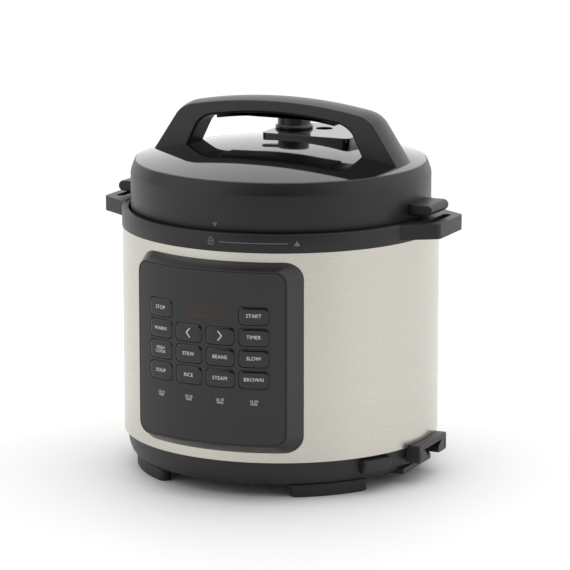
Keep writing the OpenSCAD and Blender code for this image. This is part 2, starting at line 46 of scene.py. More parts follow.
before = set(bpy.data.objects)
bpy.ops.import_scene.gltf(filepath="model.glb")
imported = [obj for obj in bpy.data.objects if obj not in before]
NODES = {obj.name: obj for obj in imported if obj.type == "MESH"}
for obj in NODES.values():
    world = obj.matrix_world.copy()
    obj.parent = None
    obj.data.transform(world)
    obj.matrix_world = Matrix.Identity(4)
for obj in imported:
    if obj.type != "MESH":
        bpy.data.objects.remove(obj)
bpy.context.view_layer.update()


class Extent:
    """The box of a CAD node, in millimetres."""

    def __init__(self, node):
        low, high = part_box(node)
        self.low, self.high = low * 1000, high * 1000
        self.mid = (self.low + self.high) / 2
        self.size = self.high - self.low


SHELL = Extent("outer_shell")
RING = Extent("top_ring")
BASE = Extent("base_housing")
COVER = Extent("lid_cover")
HANDLE = Extent("lid_handle")
KNOB = Extent("steam_knob")
STEM = Extent("valve_stem")
FLOAT = Extent("float_pin")
FRAME = Extent("panel_frame")
FACE = Extent("panel_face")
WINDOW = Extent("display_window")
HOOD = Extent("inlet_hood")
INLET = Extent("mains_inlet")
CUP = Extent("condensation_cup")
FOOT = Extent("foot_front_right")

SHELL_R = SHELL.high.x
RING_R = SHELL_R + 0.5
RING_Z = SHELL.high.z
RIM_Z = RING.high.z
LID_R = 126.0
WALL_Z = RIM_Z + 30.5
BEVEL_Z = WALL_Z + 9.5
DOME_Z = BEVEL_Z + 15.0
DOME_EDGE_R = LID_R - 3.5
DOME_R = (DOME_EDGE_R**2 + 15.0**2) / 30.0
DECK_Z = COVER.high.z
PANEL_R = -FACE.low.y
FLOAT_AT = (FLOAT.mid.x, FLOAT.mid.y)
KNOB_AT = (STEM.mid.x, STEM.mid.y)
KEY_PITCH = 11.0
HANDLE_ROOT_R = RING_R - 2.5
CARRY_T = 12.5
TAB_HALF = 18.5
TAB_NOSE_R = 4.5
TAB_Z = RIM_Z + 4
BASE_R = 130.7
POCKET_AT = 61.0
LEG_Y = INLET.high.y + 0.8
LEG_Z = HOOD.high.z - 14.8
BAR_Z = HOOD.high.z - 4.8
KEY_ROWS = [Extent(n).mid.z for n in ("key_soup", "key_pressure", "key_warm", "key_cancel")]


# ---- Settings ----


class CookerSizes(bpy.types.PropertyGroup):
    """Sizes of the details that finish the cooker's pieces."""

    handle_crown: FloatProperty(
        name="Handle crown", description="Rise of the lid handle's top between its edges",
        default=0.0023, min=0, max=0.005, unit="LENGTH")
    handle_chamfer: FloatProperty(
        name="Handle chamfer", description="Slope on the lower edges of the lid handle",
        default=0.0014, min=0, max=0.006, unit="LENGTH")
    edge: FloatProperty(
        name="Edge radius", description="Rounding of the moulded edges",
        default=0.0008, min=0.0001, max=0.002, unit="LENGTH")
    key_slope: FloatProperty(
        name="Key slope", description="Width of the sloping rim round a key",
        default=0.0017, min=0.0005, max=0.003, unit="LENGTH")
    print_height: FloatProperty(
        name="Print height", description="Height of the capitals printed on the keys",
        default=0.0031, min=0.001, max=0.006, unit="LENGTH")
    turn_steps: IntProperty(
        name="Turning steps", description="Faces round a turned piece",
        default=192, min=48, max=384)


class CookerColours(bpy.types.PropertyGroup):
    """Colours of the cooker's finishes."""

    satin: FloatVectorProperty(
        name="Satin plastic", description="Colour of the satin mouldings",
        default=(0.0105, 0.0105, 0.011), size=3, subtype="COLOR", min=0, max=1)
    gloss: FloatVectorProperty(
        name="Gloss plastic", description="Colour of the glossy lid top and panel",
        default=(0.005, 0.005, 0.0055), size=3, subtype="COLOR", min=0, max=1)
    steel: FloatVectorProperty(
        name="Steel", description="Colour of the brushed steel body",
        default=(0.575, 0.553, 0.497), size=3, subtype="COLOR", min=0, max=1)
    print_white: FloatVectorProperty(
        name="Print", description="Colour of the printed words",
        default=(0.72, 0.72, 0.72), size=3, subtype="COLOR", min=0, max=1)
    floor: FloatVectorProperty(
        name="Floor", description="Colour of the floor",
        default=(0.93, 0.93, 0.93), size=3, subtype="COLOR", min=0, max=1)


def sizes():
    return bpy.context.scene.cooker_sizes


def colours():
    return bpy.context.scene.cooker_colours


# ---- Materials ----


class Value:
    """A number inside a node tree. Arithmetic on it adds Math nodes."""

    def __init__(self, graph, link):
        self.graph, self.link = graph, link

    def join(self, operation, first, second):
        node = self.graph.add("ShaderNodeMath", {"operation": operation}, {0: first, 1: second})
        return Value(self.graph, node.outputs[0])

    def __add__(self, other):
        return self.join("ADD", self, other)

    __radd__ = __add__

    def __sub__(self, other):
        return self.join("SUBTRACT", self, other)

    def __rsub__(self, other):
        return self.join("SUBTRACT", other, self)

    def __mul__(self, other):
        return self.join("MULTIPLY", self, other)

    __rmul__ = __mul__

    def __truediv__(self, other):
        return self.join("DIVIDE", self, other)

    def __pow__(self, other):
        return self.join("POWER", self, other)


class Graph:
    """A node tree that is written as expressions."""

    def __init__(self, tree):
        self.tree = tree
        tree.nodes.clear()

    def add(self, kind, settings=None, inputs=None):
        node = self.tree.nodes.new(kind)
        for name, value in (settings or {}).items():
            if name == "stops":
                ramp = node.color_ramp
                while len(ramp.elements) < len(value):
                    ramp.elements.new(0.5)
                for element, (position, colour) in zip(ramp.elements, value):
                    element.position, element.color = position, colour
            else:
                setattr(node, name, value)
        for name, value in (inputs or {}).items():
            if isinstance(value, Value):
                self.tree.links.new(value.link, node.inputs[name])
            elif isinstance(value, bpy.types.NodeSocket):
                self.tree.links.new(value, node.inputs[name])
            else:
                node.inputs[name].default_value = value
        return node

    def ramp(self, value, low, high):
        """0 below low and 1 above high, with a soft step between."""
        node = self.add("ShaderNodeMapRange", {"interpolation_type": "SMOOTHSTEP"},
                        {"Value": value, "From Min": low, "From Max": high})
        return Value(self, node.outputs["Result"])

    def mix(self, factor, first, second):
        """A colour between two colours."""
        node = self.add("ShaderNodeMix", {"data_type": "RGBA"},
                        {0: factor, 6: first, 7: second})
        return node.outputs[2]


class Finish(Graph):
    """A material with its shader and the object's own coordinates."""

    def __init__(self, name, **shader):
        self.material = bpy.data.materials.new(name)
        self.material.use_nodes = True
        super().__init__(self.material.node_tree)
        self.shader = self.add("ShaderNodeBsdfPrincipled", None, shader)
        self.add("ShaderNodeOutputMaterial", None, {"Surface": self.shader.outputs[0]})
        self.place = self.add("ShaderNodeTexCoord").outputs["Object"]

    def stretched(self, x, y, z):
        node = self.add("ShaderNodeMapping", None, {"Vector": self.place, "Scale": (x, y, z)})
        return node.outputs[0]

    def axis(self, name):
        return Value(self, self.add("ShaderNodeSeparateXYZ", None,
                                    {0: self.place}).outputs[name])

    def noise(self, scale, detail=2.0, stretch=None, rough=0.5):
        vector = self.stretched(*stretch) if stretch else self.place
        node = self.add("ShaderNodeTexNoise", None, {
            "Vector": vector, "Scale": scale, "Detail": detail, "Roughness": rough})
        return Value(self, node.outputs["Fac"])

    def cells(self, scale, settings=None):
        node = self.add("ShaderNodeTexVoronoi", settings, {
            "Vector": self.place, "Scale": scale})
        return Value(self, node.outputs["Distance"])

    def radius(self):
        x, y = self.axis("X"), self.axis("Y")
        return (x * x + y * y) ** 0.5

    def set(self, **values):
        for name, value in values.items():
            socket = self.shader.inputs[name.replace("_", " ")]
            if isinstance(value, (Value, bpy.types.NodeSocket)):
                self.tree.links.new(getattr(value, "link", value), socket)
            else:
                socket.default_value = value
        return self

    def bump(self, height, depth, strength=1.0):
        """Relief of that depth in millimetres."""
        node = self.add("ShaderNodeBump", None, {
            "Height": height, "Distance": depth * 0.001, "Strength": strength})
        self.tree.links.new(node.outputs[0], self.shader.inputs["Normal"])
        return self


def tint(colour, factor):
    return (*[min(1.0, c * factor) for c in colour[:3]], 1.0)


def moulded(name, colour, rough, grain=0.012, scale=1900, spread=0.07, **shader):
    """Spark-eroded plastic: a fine grain, with slow changes in gloss where hands rub it."""
    f = Finish(name, **{"Specular IOR Level": 0.5, **shader})
    slow, fine = f.noise(14, 3), f.noise(scale, 2, rough=0.6)
    patches = f.noise(70, 4, rough=0.65)
    f.set(Base_Color=f.mix(slow * 0.6 + patches * 0.4, tint(colour, 0.82), tint(colour, 1.22)),
          Roughness=(slow - 0.5) * spread + (patches - 0.5) * spread + (fine - 0.5) * 0.05 + rough)
    f.bump(fine + f.cells(scale * 0.7) * 0.5, grain)
    return f.material


def polished(name, colour, rough, wave=0.004, **shader):
    """High gloss plastic: a faint waviness, dust specks and wiped smears in the gloss."""
    f = Finish(name, **{"Specular IOR Level": 0.5, **shader})
    wavy, smear = f.noise(34, 2), f.noise(9, 4, stretch=(1, 3.2, 2.1), rough=0.6)
    specks = f.ramp(f.noise(820, 1), 0.74, 0.8)
    f.set(Base_Color=f.mix(specks * 0.5 + smear * 0.25, tint(colour, 0.9), tint(colour, 2.4)),
          Roughness=f.ramp(smear, 0.45, 0.75) * 0.035 + specks * 0.12 + rough)
    f.bump(wavy, wave)
    return f.material


def brushed(name, colour, rough, stretch, scale=1.0, depth=0.002, streak=0.16, **shader):
    """Metal brushed along the short direction of its stretch."""
    f = Finish(name, **{"Metallic": 1.0, **shader})
    broad = f.noise(0.35 * scale, 3, stretch=stretch)
    fine = f.noise(scale, 4, stretch=stretch, rough=0.7)
    patch = f.noise(16, 3)
    f.set(Base_Color=f.mix(fine * 0.7 + broad * 0.3, tint(colour, 0.86), tint(colour, 1.12)),
          Roughness=(fine - 0.5) * streak + (broad - 0.5) * 0.08 + (patch - 0.5) * 0.05 + rough)
    f.bump(fine, depth)
    return f.material


def turned(name, colour, rough, pitch=0.6, depth=0.004, **shader):
    """Metal turned on a lathe: rings round the axis, with spun waves and dulled patches."""
    f = Finish(name, **{"Metallic": 1.0, **shader})
    reach = f.radius()
    rings = f.add("ShaderNodeTexNoise", {"noise_dimensions": "1D"}, {
        "W": reach * (1000 / pitch), "Scale": 1.0, "Detail": 3.0})
    rings = Value(f, rings.outputs["Fac"])
    patch, fine = f.noise(22, 4), f.noise(900, 2)
    f.set(Base_Color=f.mix(rings * 0.6 + patch * 0.4, tint(colour, 0.84), tint(colour, 1.12)),
          Roughness=(rings - 0.5) * 0.14 + (patch - 0.5) * 0.12 + (fine - 0.5) * 0.05 + rough)
    f.bump(rings, depth)
    return f.material


def rubbery(name, colour, rough, **shader):
    """Silicone or rubber: a dull skin with dust and flow marks."""
    f = Finish(name, **{"Specular IOR Level": 0.4, **shader})
    flow, fine = f.noise(26, 4), f.noise(1500, 2)
    dust = f.ramp(f.noise(300, 2), 0.6, 0.75)
    f.set(Base_Color=f.mix(flow * 0.6 + dust * 0.3, tint(colour, 0.85), tint(colour, 1.15)),
          Roughness=(flow - 0.5) * 0.1 + dust * 0.08 + rough)
    f.bump(fine, 0.01)
    return f.material


def see_through(name, colour, rough, alpha, **shader):
    """Clear moulded plastic with moulding waves and light scuffs."""
    f = Finish(name, **{"IOR": 1.5, **shader})
    wave, scuff = f.noise(24, 2), f.ramp(f.noise(700, 3), 0.62, 0.9)
    f.set(Base_Color=f.mix(scuff, tint(colour, 0.9), tint(colour, 1.2)),
          Roughness=scuff * 0.1 + rough, Alpha=scuff * 0.06 + alpha)
    f.bump(wave, 0.004)
    return f.material


def board(name, colour):
    """A printed board: lacquer with tracks and pads showing through."""
    f = Finish(name, **{"Specular IOR Level": 0.5})
    cells = f.cells(260, {"feature": "F1", "distance": "MANHATTAN"})
    tracks = f.ramp(cells, 0.42, 0.46)
    pads = 1 - f.ramp(f.cells(420), 0.1, 0.14)
    f.set(Base_Color=f.mix(pads, f.mix(tracks, tint(colour, 0.7), tint(colour, 1.5)),
                           (0.6, 0.58, 0.52, 1)),
          Roughness=f.noise(80) * 0.15 + pads * 0.1 + 0.28, Metallic=pads * 0.8)
    f.bump(tracks + pads, 0.03)
    return f.material


def bristling(name, colour, rough, stripe):
    """Wrapped or wound goods, with the turns showing."""
    f = Finish(name, **{"Specular IOR Level": 0.5})
    turns = f.add("ShaderNodeTexWave", {"wave_type": "BANDS", "bands_direction": "Z"}, {
        "Vector": f.place, "Scale": stripe, "Distortion": 1.2, "Detail": 2.0})
    turns, patch = Value(f, turns.outputs["Fac"]), f.noise(60, 3)
    f.set(Base_Color=f.mix(turns * 0.6 + patch * 0.4, tint(colour, 0.7), tint(colour, 1.25)),
          Roughness=(patch - 0.5) * 0.2 + rough)
    f.bump(turns, 0.12)
    return f.material


MADE = {}


def finish_named(name):
    """The material of that name, made when it is first asked for."""
    if name not in MADE:
        c = colours()
        makers = {
            "satin": lambda: moulded("Satin black plastic", c.satin, 0.4,
                                     **{"Specular IOR Level": 0.4}),
            "satin_soft": lambda: moulded("Handle plastic", tint(c.satin, 1.3), 0.34, grain=0.008),
            "bezel": lambda: moulded("Bezel plastic", c.satin, 0.33, grain=0.006, scale=2400),
            "base": lambda: moulded("Base plastic", tint(c.satin, 0.95), 0.46, grain=0.014),
            "gloss": lambda: polished("Gloss black", c.gloss, 0.055, **{"Coat Weight": 0.3}),
            "panel": lambda: polished("Panel gloss", c.gloss, 0.085, wave=0.003),
            "key": lambda: polished("Key gloss", tint(c.gloss, 1.3), 0.13, wave=0.006),
            "steel": lambda: brushed("Brushed steel", c.steel, 0.27, (2, 2, 4200),
                                     depth=0.0004, streak=0.06),
            "pot_steel": lambda: turned("Pot steel", (0.66, 0.65, 0.62), 0.24, 0.9, 0.003),
            "pressed": lambda: turned("Pressed steel", (0.6, 0.6, 0.58), 0.34, 1.4, 0.006),
            "liner": lambda: brushed("Liner metal", (0.52, 0.52, 0.5), 0.42, (4, 4, 500)),
            "cast": lambda: turned("Cast aluminium", (0.55, 0.55, 0.56), 0.46, 0.5, 0.02),
            "screw": lambda: turned("Screw zinc", (0.5, 0.5, 0.47), 0.32, 0.3, 0.01),
            "brass": lambda: brushed("Contact brass", (0.68, 0.54, 0.26), 0.28, (30, 900, 900)),
            "silicone": lambda: rubbery("Silicone", (0.62, 0.62, 0.6), 0.42),
            "feet": lambda: rubbery("Foot rubber", (0.022, 0.022, 0.022), 0.62),
            "float": lambda: moulded("Float pin red", (0.42, 0.02, 0.015), 0.3, grain=0.005),
            "dark": lambda: moulded("Dark plastic", (0.018, 0.018, 0.019), 0.5, grain=0.02),
            "window": lambda: polished("Smoked window", (0.012, 0.007, 0.007), 0.06),
            "lit": lambda: glowing(),
            "print": lambda: printed("White print", c.print_white),
            "mark": lambda: printed("Grey print", (0.16, 0.16, 0.16)),
            "clear": lambda: see_through("Clear cup", (0.42, 0.44, 0.45), 0.08, 0.34),
            "board": lambda: board("Circuit board", (0.02, 0.11, 0.045)),
            "relay": lambda: moulded("Relay case", (0.02, 0.06, 0.2), 0.35, grain=0.006),
            "winding": lambda: bristling("Taped winding", (0.55, 0.4, 0.06), 0.42, 330),
            "wire": lambda: moulded("Wire sleeve", (0.25, 0.09, 0.04), 0.45, grain=0.01),
            "ribbon": lambda: bristling("Ribbon cable", (0.42, 0.42, 0.44), 0.5, 210),
            "fuse": lambda: rubbery("Fuse sleeve", (0.62, 0.58, 0.48), 0.5),
        }
        MADE[name] = makers[name]()
    return MADE[name]


def printed(name, colour):
    """Screen print: dense, slightly uneven ink."""
    f = Finish(name, **{"Specular IOR Level": 0.4})
    ink, pins = f.noise(420, 3), f.ramp(f.noise(2600, 1), 0.7, 0.78)
    f.set(Base_Color=f.mix(ink * 0.8 + pins * 0.2, tint(colour, 0.86), tint(colour, 1.1)),
          Roughness=ink * 0.2 + 0.4)
    f.bump(ink, 0.004)
    return f.material


def glowing():
    """Digits behind a smoked window, switched off, with a faint red cast."""
    f = Finish("Display digit", **{"Specular IOR Level": 0.3})
    cells = f.noise(500, 2)
    f.set(Base_Color=f.mix(cells, (0.045, 0.013, 0.010, 1), (0.075, 0.022, 0.016, 1)),
          Roughness=cells * 0.2 + 0.3)
    f.bump(cells, 0.004)
    return f.material


# ---- Making pieces ----


def arc(x, y, radius, start, end, steps):
    """Points along an arc, with its angles in degrees."""
    return [(x + radius * math.cos(math.radians(start + (end - start) * i / steps)),
             y + radius * math.sin(math.radians(start + (end - start) * i / steps)))
            for i in range(steps + 1)]


def drawn(points, axes="XY", level=0.0):
    """A bmesh with one face through the points, in a plane at that level."""
    bm = bmesh.new()
    corner = {"XY": lambda a, b: (a, b, level), "XZ": lambda a, b: (a, level, b)}[axes]
    bm.faces.new([bm.verts.new(corner(*p)) for p in points])
    return bm


def round_corners(bm, radius, segments=6, where=lambda co: True):
    """Rounds the corners of a flat outline."""
    corners = [v for v in bm.verts if where(v.co)]
    bmesh.ops.bevel(bm, geom=corners, offset=radius, segments=segments, profile=0.5,
                    affect="VERTICES", material=-1)


def raise_face(bm, vector):
    """Extrudes every face of a flat outline into a solid."""
    flat = bm.faces[:]
    grown = bmesh.ops.extrude_face_region(bm, geom=flat, use_keep_orig=True)
    bmesh.ops.translate(bm, vec=vector, verts=[
        g for g in grown["geom"] if isinstance(g, bmesh.types.BMVert)])


def spun(profile, closed=True, degrees=360, steps=None):
    """A bmesh turned round the vertical axis from points of radius and height."""
    bm = bmesh.new()
    verts = [bm.verts.new((0, -r, z)) for r, z in profile]
    edges = [bm.edges.new(pair) for pair in zip(verts, verts[1:])]
    if closed:
        edges.append(bm.edges.new((verts[-1], verts[0])))
    whole = degrees == 360
    count = steps or max(8, round(sizes().turn_steps * degrees / 360))
    bmesh.ops.spin(bm, geom=verts + edges, cent=(0, 0, 0), axis=(0, 0, 1),
                   angle=math.radians(degrees), steps=count, use_merge=whole)
    bmesh.ops.remove_doubles(bm, verts=bm.verts, dist=1e-4)
    return bm


def softened(points, radii, segments=4):
    """The points of a closed outline with its corners rounded, one radius for each point."""
    bm = drawn(points)
    for radius in sorted(set(r for r in radii if r)):
        chosen = [Vector((*p, 0)) for p, r in zip(points, radii) if r == radius]
        round_corners(bm, radius, segments,
                      lambda co: any((co - c).length < 1e-6 for c in chosen))
    face = max(bm.faces, key=lambda f: f.calc_area())
    path = [(v.co.x, v.co.y) for v in face.verts]
    bm.free()
    return path


def oblong(low, high, radii, segments=4):
    """The points of an upright rectangle between two corners, with its corners rounded."""
    return softened([low, (high[0], low[1]), high, (low[0], high[1])], radii, segments)


def sliced(bm, low, high, step, axis=(1, 0, 0)):
    """Cuts across a flat piece, so that it can bend."""
    at = low + step
    while at < high - 1e-6:
        bmesh.ops.bisect_plane(bm, geom=bm.verts[:] + bm.edges[:] + bm.faces[:], dist=1e-5,
                               plane_co=Vector(axis) * at, plane_no=axis)
        at += step


def loft(loops, closed=False, segments=6):
    """Rounded rectangles of (half width, bottom, top, corner, depth), joined in turn."""
    bm = bmesh.new()
    rims = []
    for half, low, high, corner, depth in loops:
        known = set(bm.edges)
        face = bm.faces.new([bm.verts.new((x, depth, z)) for x, z in (
            (-half, low), (half, low), (half, high), (-half, high))])
        bmesh.ops.bevel(bm, geom=list(face.verts), offset=corner, segments=segments,
                        profile=0.5, affect="VERTICES", material=-1)
        rims.append([e for e in bm.edges if e not in known])
    bmesh.ops.delete(bm, geom=bm.faces[:], context="FACES_ONLY")
    pairs = list(zip(rims, rims[1:])) + ([(rims[-1], rims[0])] if closed else [])
    for first, second in pairs:
        bmesh.ops.bridge_loops(bm, edges=first + second)
    if not closed:
        for rim in (rims[0], rims[-1]):
            bmesh.ops.contextual_create(bm, geom=rim)
    return bm


def turned_to(bm, degrees):
    bmesh.ops.rotate(bm, cent=(0, 0, 0), matrix=Matrix.Rotation(math.radians(degrees), 3, "Z"),
                     verts=bm.verts)
    return bm


def piece(bm, name, body, finish, replaces=(), edge=0.0, segments=3, sharp=38, limit=32):
    """A finished object from a bmesh in millimetres, riding on its body."""
    bmesh.ops.recalc_face_normals(bm, faces=bm.faces)
    bmesh.ops.scale(bm, vec=(0.001, 0.001, 0.001), verts=bm.verts)
    mesh = bpy.data.meshes.new(name)
    bm.to_mesh(mesh)
    bm.free()
    mesh.shade_smooth()
    mesh.set_sharp_from_angle(angle=math.radians(sharp))
    made = bpy.data.objects.new(name, mesh)
    bpy.context.scene.collection.objects.link(made)
    mesh.materials.append(finish_named(finish))
    if edge:
        soft = made.modifiers.new("Rounded edges", "BEVEL")
        soft.width, soft.segments = edge * 0.001, segments
        soft.limit_method, soft.angle_limit = "ANGLE", math.radians(limit)
        soft.harden_normals = True
    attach(made, body)
    if replaces:
        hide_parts(*replaces)
    return made


def dress(node, finish):
    """Gives a carried-over CAD node its finish."""
    mesh = NODES[node].data
    mesh.materials.clear()
    mesh.materials.append(finish_named(finish))


def words(text, height, x, z, depth, spacing=1.0, thick=0.05):
    """A bmesh of flat capitals, drawn upright round a point of the panel."""
    curve = bpy.data.curves.new("words", "FONT")
    curve.body, curve.size = text, height * 1.38
    curve.align_x, curve.align_y = "CENTER", "CENTER"
    curve.space_line, curve.space_character = 0.85, spacing
    curve.extrude, curve.resolution_u = thick / 2, 4
    holder = bpy.data.objects.new("words", curve)
    bpy.context.scene.collection.objects.link(holder)
    bpy.context.view_layer.update()
    mesh = bpy.data.meshes.new_from_object(holder.evaluated_get(
        bpy.context.evaluated_depsgraph_get()))
    bm = bmesh.new()
    bm.from_mesh(mesh)
    bpy.data.objects.remove(holder)
    bpy.data.curves.remove(curve)
    bpy.data.meshes.remove(mesh)
    bmesh.ops.remove_doubles(bm, verts=bm.verts, dist=1e-5)
    for v in bm.verts:
        v.co = Vector((v.co.x + x, depth - v.co.z, v.co.y + z))
    return bm


def joined(*parts):
    """Several bmeshes as one."""
    whole = bmesh.new()
    for part in parts:
        mesh = bpy.data.meshes.new("part")
        part.to_mesh(mesh)
        part.free()
        whole.from_mesh(mesh)
        bpy.data.meshes.remove(mesh)
    return whole


def bridged(*outlines, level=0.0):
    """A flat face with a hole, from an outer and an inner outline."""
    bm = bmesh.new()
    rims = []
    for points in outlines:
        verts = [bm.verts.new((x, y, level)) for x, y in points]
        rims += [bm.edges.new(pair) for pair in zip(verts, verts[1:] + verts[:1])]
    bmesh.ops.bridge_loops(bm, edges=rims)
    return bm


def holed(bm, cutter):
    """What is left of a solid once another is cut out of it."""
    things = []
    for part in (bm, cutter):
        bmesh.ops.recalc_face_normals(part, faces=part.faces)
        mesh = bpy.data.meshes.new("part")
        part.to_mesh(mesh)
        part.free()
        thing = bpy.data.objects.new("part", mesh)
        bpy.context.scene.collection.objects.link(thing)
        things.append(thing)
    cut = things[0].modifiers.new("Cut", "BOOLEAN")
    cut.object, cut.operation, cut.solver = things[1], "DIFFERENCE", "EXACT"
    bpy.context.view_layer.update()
    left = bmesh.new()
    mesh = bpy.data.meshes.new_from_object(things[0].evaluated_get(
        bpy.context.evaluated_depsgraph_get()))
    left.from_mesh(mesh)
    bpy.data.meshes.remove(mesh)
    for thing in things:
        data = thing.data
        bpy.data.objects.remove(thing)
        bpy.data.meshes.remove(data)
    return left


def stood_up(bm, x):
    """Stands a flat outline on edge, facing along X at that distance."""
    for v in bm.verts:
        v.co = Vector((x, v.co.x, v.co.y))


def moved(bm, at):
    """Moves a solid level with the table, to a place on the lid."""
    bmesh.ops.translate(bm, vec=(*at, 0), verts=bm.verts)
    return bm


def block(low, high):
    """A box between two corners."""
    bm = bmesh.new()
    middle = [(a + b) / 2 for a, b in zip(low, high)]
    size = [b - a for a, b in zip(low, high)]
    bmesh.ops.create_cube(bm, size=1.0, matrix=Matrix.Translation(middle) @ Matrix.Diagonal(
        (*size, 1.0)))
    return bm


def around(bm, radius, degrees=0.0):
    """Bends what is drawn flat round a cylinder, where y is the depth behind its surface."""
    for v in bm.verts:
        reach = radius - v.co.y
        v.co.y = -math.sqrt(max(reach * reach - v.co.x**2, 1.0))
    return turned_to(bm, degrees)


# ---- Body ----


class BuildBody(bpy.types.Operator):
    """Finish the steel body and build the ring with its carrying handles"""

    bl_idname = "cooker.body"
    bl_label = "Body and top ring"

    def execute(self, context):
        dress("outer_shell", "steel")
        edge = sizes().edge * 1000
        ring = softened(
            [(116, RING_Z), (RING_R, RING_Z), (RING_R, RIM_Z), (RING_R - 5.7, RIM_Z),
             (RING_R - 5.7, RING_Z + 3.9), (116, RING_Z + 3.9)],
            [0, 0.5, 1.1, 0.7, 1.0, 0.3])
        parts = [spun(ring)]
        inner_rim = spun([(SHELL_R - 4, RING_Z - 7), (SHELL_R - 1.2, RING_Z - 7),
                          (SHELL_R - 1.2, RING_Z + 1), (SHELL_R - 4, RING_Z + 1)])
        parts.append(inner_rim)
        body = joined(*parts)
        body = holed(body, block((-2.5, RING_R - 7, RING_Z + 2), (2.5, RING_R + 6, RING_Z + 6.4)))
        piece(body, "top_ring_moulding", "cooker", "satin",
              replaces=("top_ring",))
        spout = joined(block((-4, RING_R - 1.5, RING_Z + 0.2), (-2.5, RING_R + 4, RING_Z + 3.7)),
                       block((2.5, RING_R - 1.5, RING_Z + 0.2), (4, RING_R + 4, RING_Z + 3.7)),
                       block((-4, RING_R - 1.5, RING_Z + 0.2), (4, RING_R + 4, RING_Z + 2)))
        piece(spout, "condensate_spout", "cooker", "satin", edge=0.3, segments=2)
        reach, corner = RING.high.x, 24.4
        outline = [*arc(0, 0, HANDLE_ROOT_R, 20, -20, 16), (reach, -corner), (reach, corner)]
        outer = softened(outline, [0] * 17 + [2.9, 2.9], 10)
        gap_low, gap_high, gap_half = reach - 14.8, reach - 7.4, 19.9
        slot = oblong((gap_low, -gap_half), (gap_high, gap_half), [3.69] * 4, 6)
        for side, name in ((0, "right"), (180, "left")):
            grip, hole = drawn(outer, level=RIM_Z - CARRY_T), drawn(slot, level=RIM_Z - CARRY_T - 1.5)
            raise_face(grip, (0, 0, CARRY_T))
            raise_face(hole, (0, 0, CARRY_T + 3.5))
            piece(turned_to(holed(grip, hole), side), f"carry_handle_{name}", "cooker", "satin",
                  edge=edge * 1.6, segments=4)
        self.marks()
        return {"FINISHED"}

    def marks(self):
        """The padlock, the line and the arrow that show where the lid turns."""
        mid = (RING_Z + RIM_Z) / 2 + 0.4
        lock = joined(
            bridged(oblong((-2.5, mid - 2.9), (2.5, mid + 0.9), [0.6] * 4, 3),
                    oblong((-1.9, mid - 2.3), (1.9, mid + 0.3), [0.3] * 4, 3)),
            drawn([(-1.7, mid + 0.9), (-1.7, mid + 2), *arc(0, mid + 2, 1.7, 180, 0, 10),
                   (1.7, mid + 0.9), (1.1, mid + 0.9), (1.1, mid + 2),
                   *arc(0, mid + 2, 1.1, 0, 180, 10)[1:-1], (-1.1, mid + 2),
                   (-1.1, mid + 0.9)]),
            drawn([(-0.45, mid - 1.6), (0.45, mid - 1.6), (0.45, mid - 0.4), (-0.45, mid - 0.4)]))
        line = drawn([(0, mid - 0.28), (56, mid - 0.28), (56, mid + 0.28), (0, mid + 0.28)])
        arrow = drawn([(-2.6, mid - 1.9), (2.6, mid - 1.9), (0, mid + 2.3)])
        pointer = drawn([(-2.2, RIM_Z + 6.4), (0, RIM_Z + 3.2), (2.2, RIM_Z + 6.4)])
        for v in line.verts:
            v.co.x -= 28
        sliced(line, -28, 28, 1.5)
        for bm, name, body, radius, degrees in (
                (lock, "lock_mark", "cooker", RING_R, 0), (line, "turn_line", "cooker", RING_R, 15.4),
                (arrow, "open_mark", "cooker", RING_R, 30.6), (pointer, "lid_pointer", "lid", LID_R, 0)):
            for v in bm.verts:
                v.co = Vector((v.co.x, 0.03, v.co.y))
            if bm is not line:
                sliced(bm, -3, 3, 0.8)
            bmesh.ops.recalc_face_normals(bm, faces=bm.faces)
            raise_face(bm, (0, -0.05, 0))
            piece(around(bm, radius, degrees), name, body, "mark")


